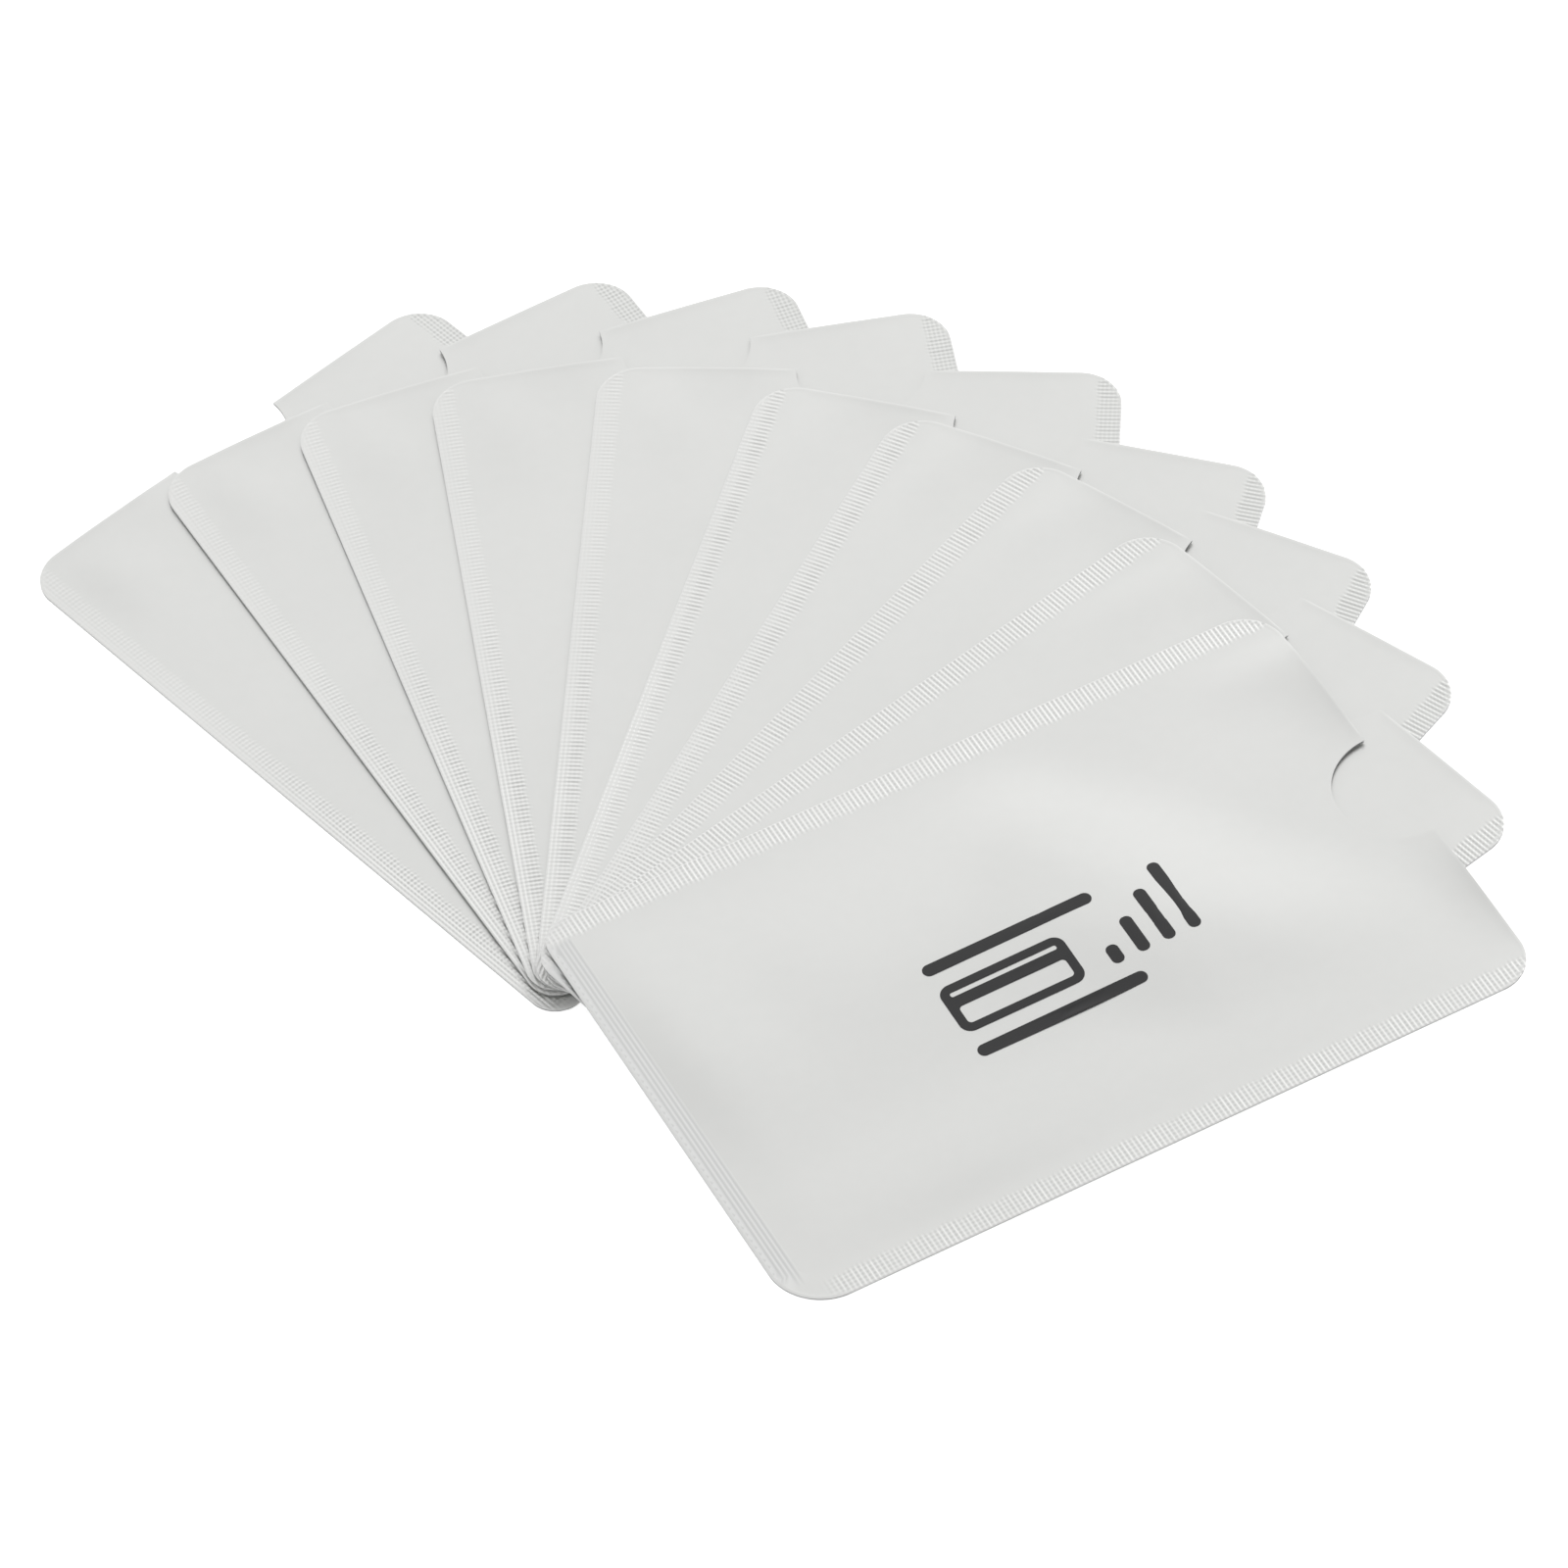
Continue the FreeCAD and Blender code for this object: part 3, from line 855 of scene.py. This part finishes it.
# Printed mark, in millimetres along and across the top sleeve. The card and its windows are bars, each given by
# where it starts and ends along, where it starts and ends across, and its corners' radius.
PRINT_LIFT = 0.03
PRINT_STEP = 0.8
PRINT_GRID_START = (0.37, 0.41)
PRINT_MERGE = 1e-5
BAR_CORNER_STEPS = 8
MARK_START = 33.6
RULE_END = 54.6
RULES = ((26.6, 28.2), (39.0, 40.6))
RULE_RADIUS = 0.8
CARD = (MARK_START, 49.0, 30.2, 37.0, 1.4)
CARD_WINDOWS = ((34.7, 47.9, 33.4, 35.9, 0.5), (34.7, 47.9, 31.3, 31.9, 0.25))
RISING_TOPS = (34.4, 31.8, 29.2, 26.6)
RISING_FOOT = 37.0
RISING_START = 52.2
RISING_PITCH = 3.2
RISING_WIDTH = 1.5
RISING_RADIUS = 0.7


def bar(u0, u1, v0, v1, radius):
    """Outline of a bar with rounded corners."""
    points = []
    near, far, low, high = u0 + radius, u1 - radius, v0 + radius, v1 - radius
    for turn, (along, across) in enumerate(((far, high), (near, high), (near, low), (far, low))):
        for step in range(BAR_CORNER_STEPS + 1):
            angle = math.pi / 2 * (turn + step / BAR_CORNER_STEPS)
            points.append((along + radius * math.cos(angle), across + radius * math.sin(angle)))
    return points


def inside(points, loop):
    """Which points lie inside a loop."""
    x, y = points[:, 0], points[:, 1]
    result = np.zeros(len(points), bool)
    for (x0, y0), (x1, y1) in zip(loop, loop[1:] + loop[:1]):
        crosses = (y0 > y) != (y1 > y)
        with np.errstate(divide="ignore", invalid="ignore"):
            result ^= crosses & (x < (x1 - x0) * (y - y0) / (y1 - y0) + x0)
    return result


def inked(points, outer, holes):
    """Which points lie inside the outer loop and in none of the holes."""
    result = inside(points, outer)
    for hole in holes:
        result &= ~inside(points, hole)
    return result


def inked_shape(outer, holes):
    """Places and triangles of a printed shape with holes."""
    points, edges = joined_loops([outer, *holes])
    low, high = np.min(outer, 0) + PRINT_GRID_START, np.max(outer, 0)
    across = np.arange(low[1], high[1], PRINT_STEP)
    grid = np.array([(u, v) for u in np.arange(low[0], high[0], PRINT_STEP) for v in across])
    if len(grid):
        points += [tuple(p) for p in grid[inked(grid, outer, holes)]]
    corners = [Vector(p) for p in points]
    made, _, faces, _, _, _ = delaunay_2d_cdt(corners, edges, [], 1, PRINT_MERGE, False)
    made, faces = np.array([tuple(p) for p in made]), np.array(faces)
    return made, faces[inked(made[faces].mean(1), outer, holes)]


def mark_shapes():
    """Outlines and holes of a plain card pictogram between two rules, with rising bars."""
    shapes = [(bar(MARK_START, RULE_END, low, high, RULE_RADIUS), []) for low, high in RULES]
    shapes.append((bar(*CARD), [bar(*window) for window in CARD_WINDOWS]))
    for step, top in enumerate(RISING_TOPS):
        start = RISING_START + RISING_PITCH * step
        shapes.append((bar(start, start + RISING_WIDTH, top, RISING_FOOT, RISING_RADIUS), []))
    return shapes


def printed_mark(surface, material):
    """The mark printed on the top sleeve's front wall."""
    place = place_in_fan(SLEEVES)
    places, faces = [], []
    for outer, holes in mark_shapes():
        spots, tris = inked_shape(outer, holes)
        heights = surface(spots[:, 0], spots[:, 1]) + PRINT_LIFT
        faces += [[index + len(places) for index in tri[::-1]] for tri in tris.tolist()]
        places += laid_places(place, spots, heights)
    mesh = bpy.data.meshes.new("printed_mark")
    mesh.from_pydata(places, [], faces)
    mesh.polygons.foreach_set("use_smooth", np.ones(len(faces), bool))
    mesh.materials.append(material)
    piece = bpy.data.objects.new("printed_mark", mesh)
    bpy.context.scene.collection.objects.link(piece)
    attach(piece, f"sleeve_{SLEEVES:02d}")


# Studio: brightness of the room, then the floor and the key lamp in metres, degrees and watts
ROOM_LEVEL = 0.93
ROOM_BEHIND = 0.76
ROOM_FRONT = 0.90
ROOM_OVERHEAD = 0.45
ROOM_HORIZON = 0.86
FLOOR_HALF = 3.0
FLOOR_DROP = 0.00005
FLOOR_GLOW = 0.65
FLOOR_COLOUR = (0.85, 0.85, 0.85, 1.0)
WHITE = (1.0, 1.0, 1.0, 1.0)
KEY_AZIMUTH = 34.0
KEY_ELEVATION = 40.0
KEY_DISTANCE = 6.0
KEY_SIZE = 1.2
KEY_WATTS = 18.0


def studio_floor():
    """A white sweep that stays white to the camera and takes the shadow."""
    material, tree, shader = new_material("white_floor", metallic=0.0, roughness=0.9)
    shader.inputs["Base Color"].default_value = FLOOR_COLOUR
    path = tree.nodes.new("ShaderNodeLightPath")
    seen = maths(tree, "MAXIMUM", path.outputs["Is Camera Ray"], path.outputs["Is Glossy Ray"])
    seen = maths(tree, "MAXIMUM", seen, path.outputs["Is Transmission Ray"])
    strength = maths(tree, "MULTIPLY", seen, FLOOR_GLOW)
    glow = add(tree, "ShaderNodeEmission", {"Color": WHITE, "Strength": strength})
    both = add(tree, "ShaderNodeAddShader", {0: shader.outputs[0], 1: glow.outputs[0]})
    tree.links.new(both.outputs[0], tree.nodes["Material Output"].inputs["Surface"])
    mesh = bpy.data.meshes.new("floor")
    half = FLOOR_HALF
    mesh.from_pydata([(-half, -half, 0), (half, -half, 0), (half, half, 0), (-half, half, 0)], [], [(0, 1, 2, 3)])
    mesh.materials.append(material)
    floor = bpy.data.objects.new("floor", mesh)
    floor.location.z = -FLOOR_DROP
    bpy.context.scene.collection.objects.link(floor)


def right_key():
    """A soft square lamp that faces the fan. Azimuth 0 is behind the fan and 90 to its right."""
    lamp = bpy.data.lights.new("right_key", "AREA")
    lamp.shape = "RECTANGLE"
    lamp.size, lamp.size_y = KEY_SIZE, KEY_SIZE
    lamp.energy = KEY_WATTS
    azimuth, elevation = math.radians(KEY_AZIMUTH), math.radians(KEY_ELEVATION)
    level = math.cos(elevation)
    away = Vector((math.sin(azimuth) * level, math.cos(azimuth) * level, math.sin(elevation)))
    holder = bpy.data.objects.new("right_key", lamp)
    holder.location = away * KEY_DISTANCE
    holder.rotation_euler = (-away).to_track_quat("-Z", "Y").to_euler()
    bpy.context.scene.collection.objects.link(holder)


def pale_room():
    """A pale room, brightest above the horizon behind the fan, dimmer overhead, in front and at the horizon."""
    world = bpy.data.worlds.new("white_room")
    world.use_nodes = True
    tree = world.node_tree
    where = tree.nodes.new("ShaderNodeTexCoord").outputs["Generated"]
    way = add(tree, "ShaderNodeSeparateXYZ", {"Vector": where})
    behind = maths(tree, "MULTIPLY_ADD", way.outputs["Y"], ROOM_BEHIND, ROOM_LEVEL)
    behind = maths(tree, "MULTIPLY_ADD", way.outputs["Z"], -ROOM_OVERHEAD, behind)
    front = maths(tree, "MULTIPLY_ADD", way.outputs["Z"], -ROOM_OVERHEAD, ROOM_FRONT)
    low = maths(tree, "ADD", maths(tree, "MAXIMUM", way.outputs["Z"], 0.0), ROOM_HORIZON)
    level = maths(tree, "MINIMUM", maths(tree, "MAXIMUM", behind, front), low)
    sky = tree.nodes["Background"]
    sky.inputs["Color"].default_value = WHITE
    tree.links.new(level, sky.inputs["Strength"])
    bpy.context.scene.world = world


def photo_camera():
    """The camera at the photograph's place."""
    elevation, roll = math.radians(CAMERA_ELEVATION), math.radians(CAMERA_ROLL)
    back = Vector((0.0, -math.cos(elevation), math.sin(elevation)))
    right = Vector((1.0, 0.0, 0.0))
    up = back.cross(right)
    across = right * math.cos(roll) + up * math.sin(roll)
    upward = up * math.cos(roll) - right * math.sin(roll)
    data = bpy.data.cameras.new("photo_camera")
    data.sensor_width = SENSOR
    data.lens = FOCAL_PIXELS / IMAGE_PIXELS * SENSOR
    data.clip_start, data.clip_end = CLIP_NEAR, CLIP_FAR
    camera = bpy.data.objects.new("photo_camera", data)
    turn = Matrix((across, upward, back)).transposed()
    spot = (Vector(CAMERA_TARGET) + back * CAMERA_DISTANCE) * MM
    camera.matrix_world = Matrix.Translation(spot) @ turn.to_4x4()
    bpy.context.scene.collection.objects.link(camera)
    bpy.context.scene.camera = camera


def dress_welds(material):
    """The CAD welds stay as they are, with a finish of their own."""
    for number in range(1, SLEEVES + 1):
        weld = frame["nodes"][f"sleeve_{number:02d}_heat_seal"]
        weld.data.materials.clear()
        weld.data.materials.append(material)


def dress_fan():
    """All ten sleeves and the print on the top one, which is made last."""
    sheet = SleeveSheet()
    materials = [silver_film(), foil_lining(), cut_edge()]
    surfaces = [make_walls(number, sheet, materials) for number in range(1, SLEEVES + 1)]
    dress_welds(melted_weld())
    printed_mark(surfaces[-1], black_ink())


bpy.context.scene.view_settings.view_transform = "Standard"
dress_fan()
studio_floor()
pale_room()
right_key()
photo_camera()
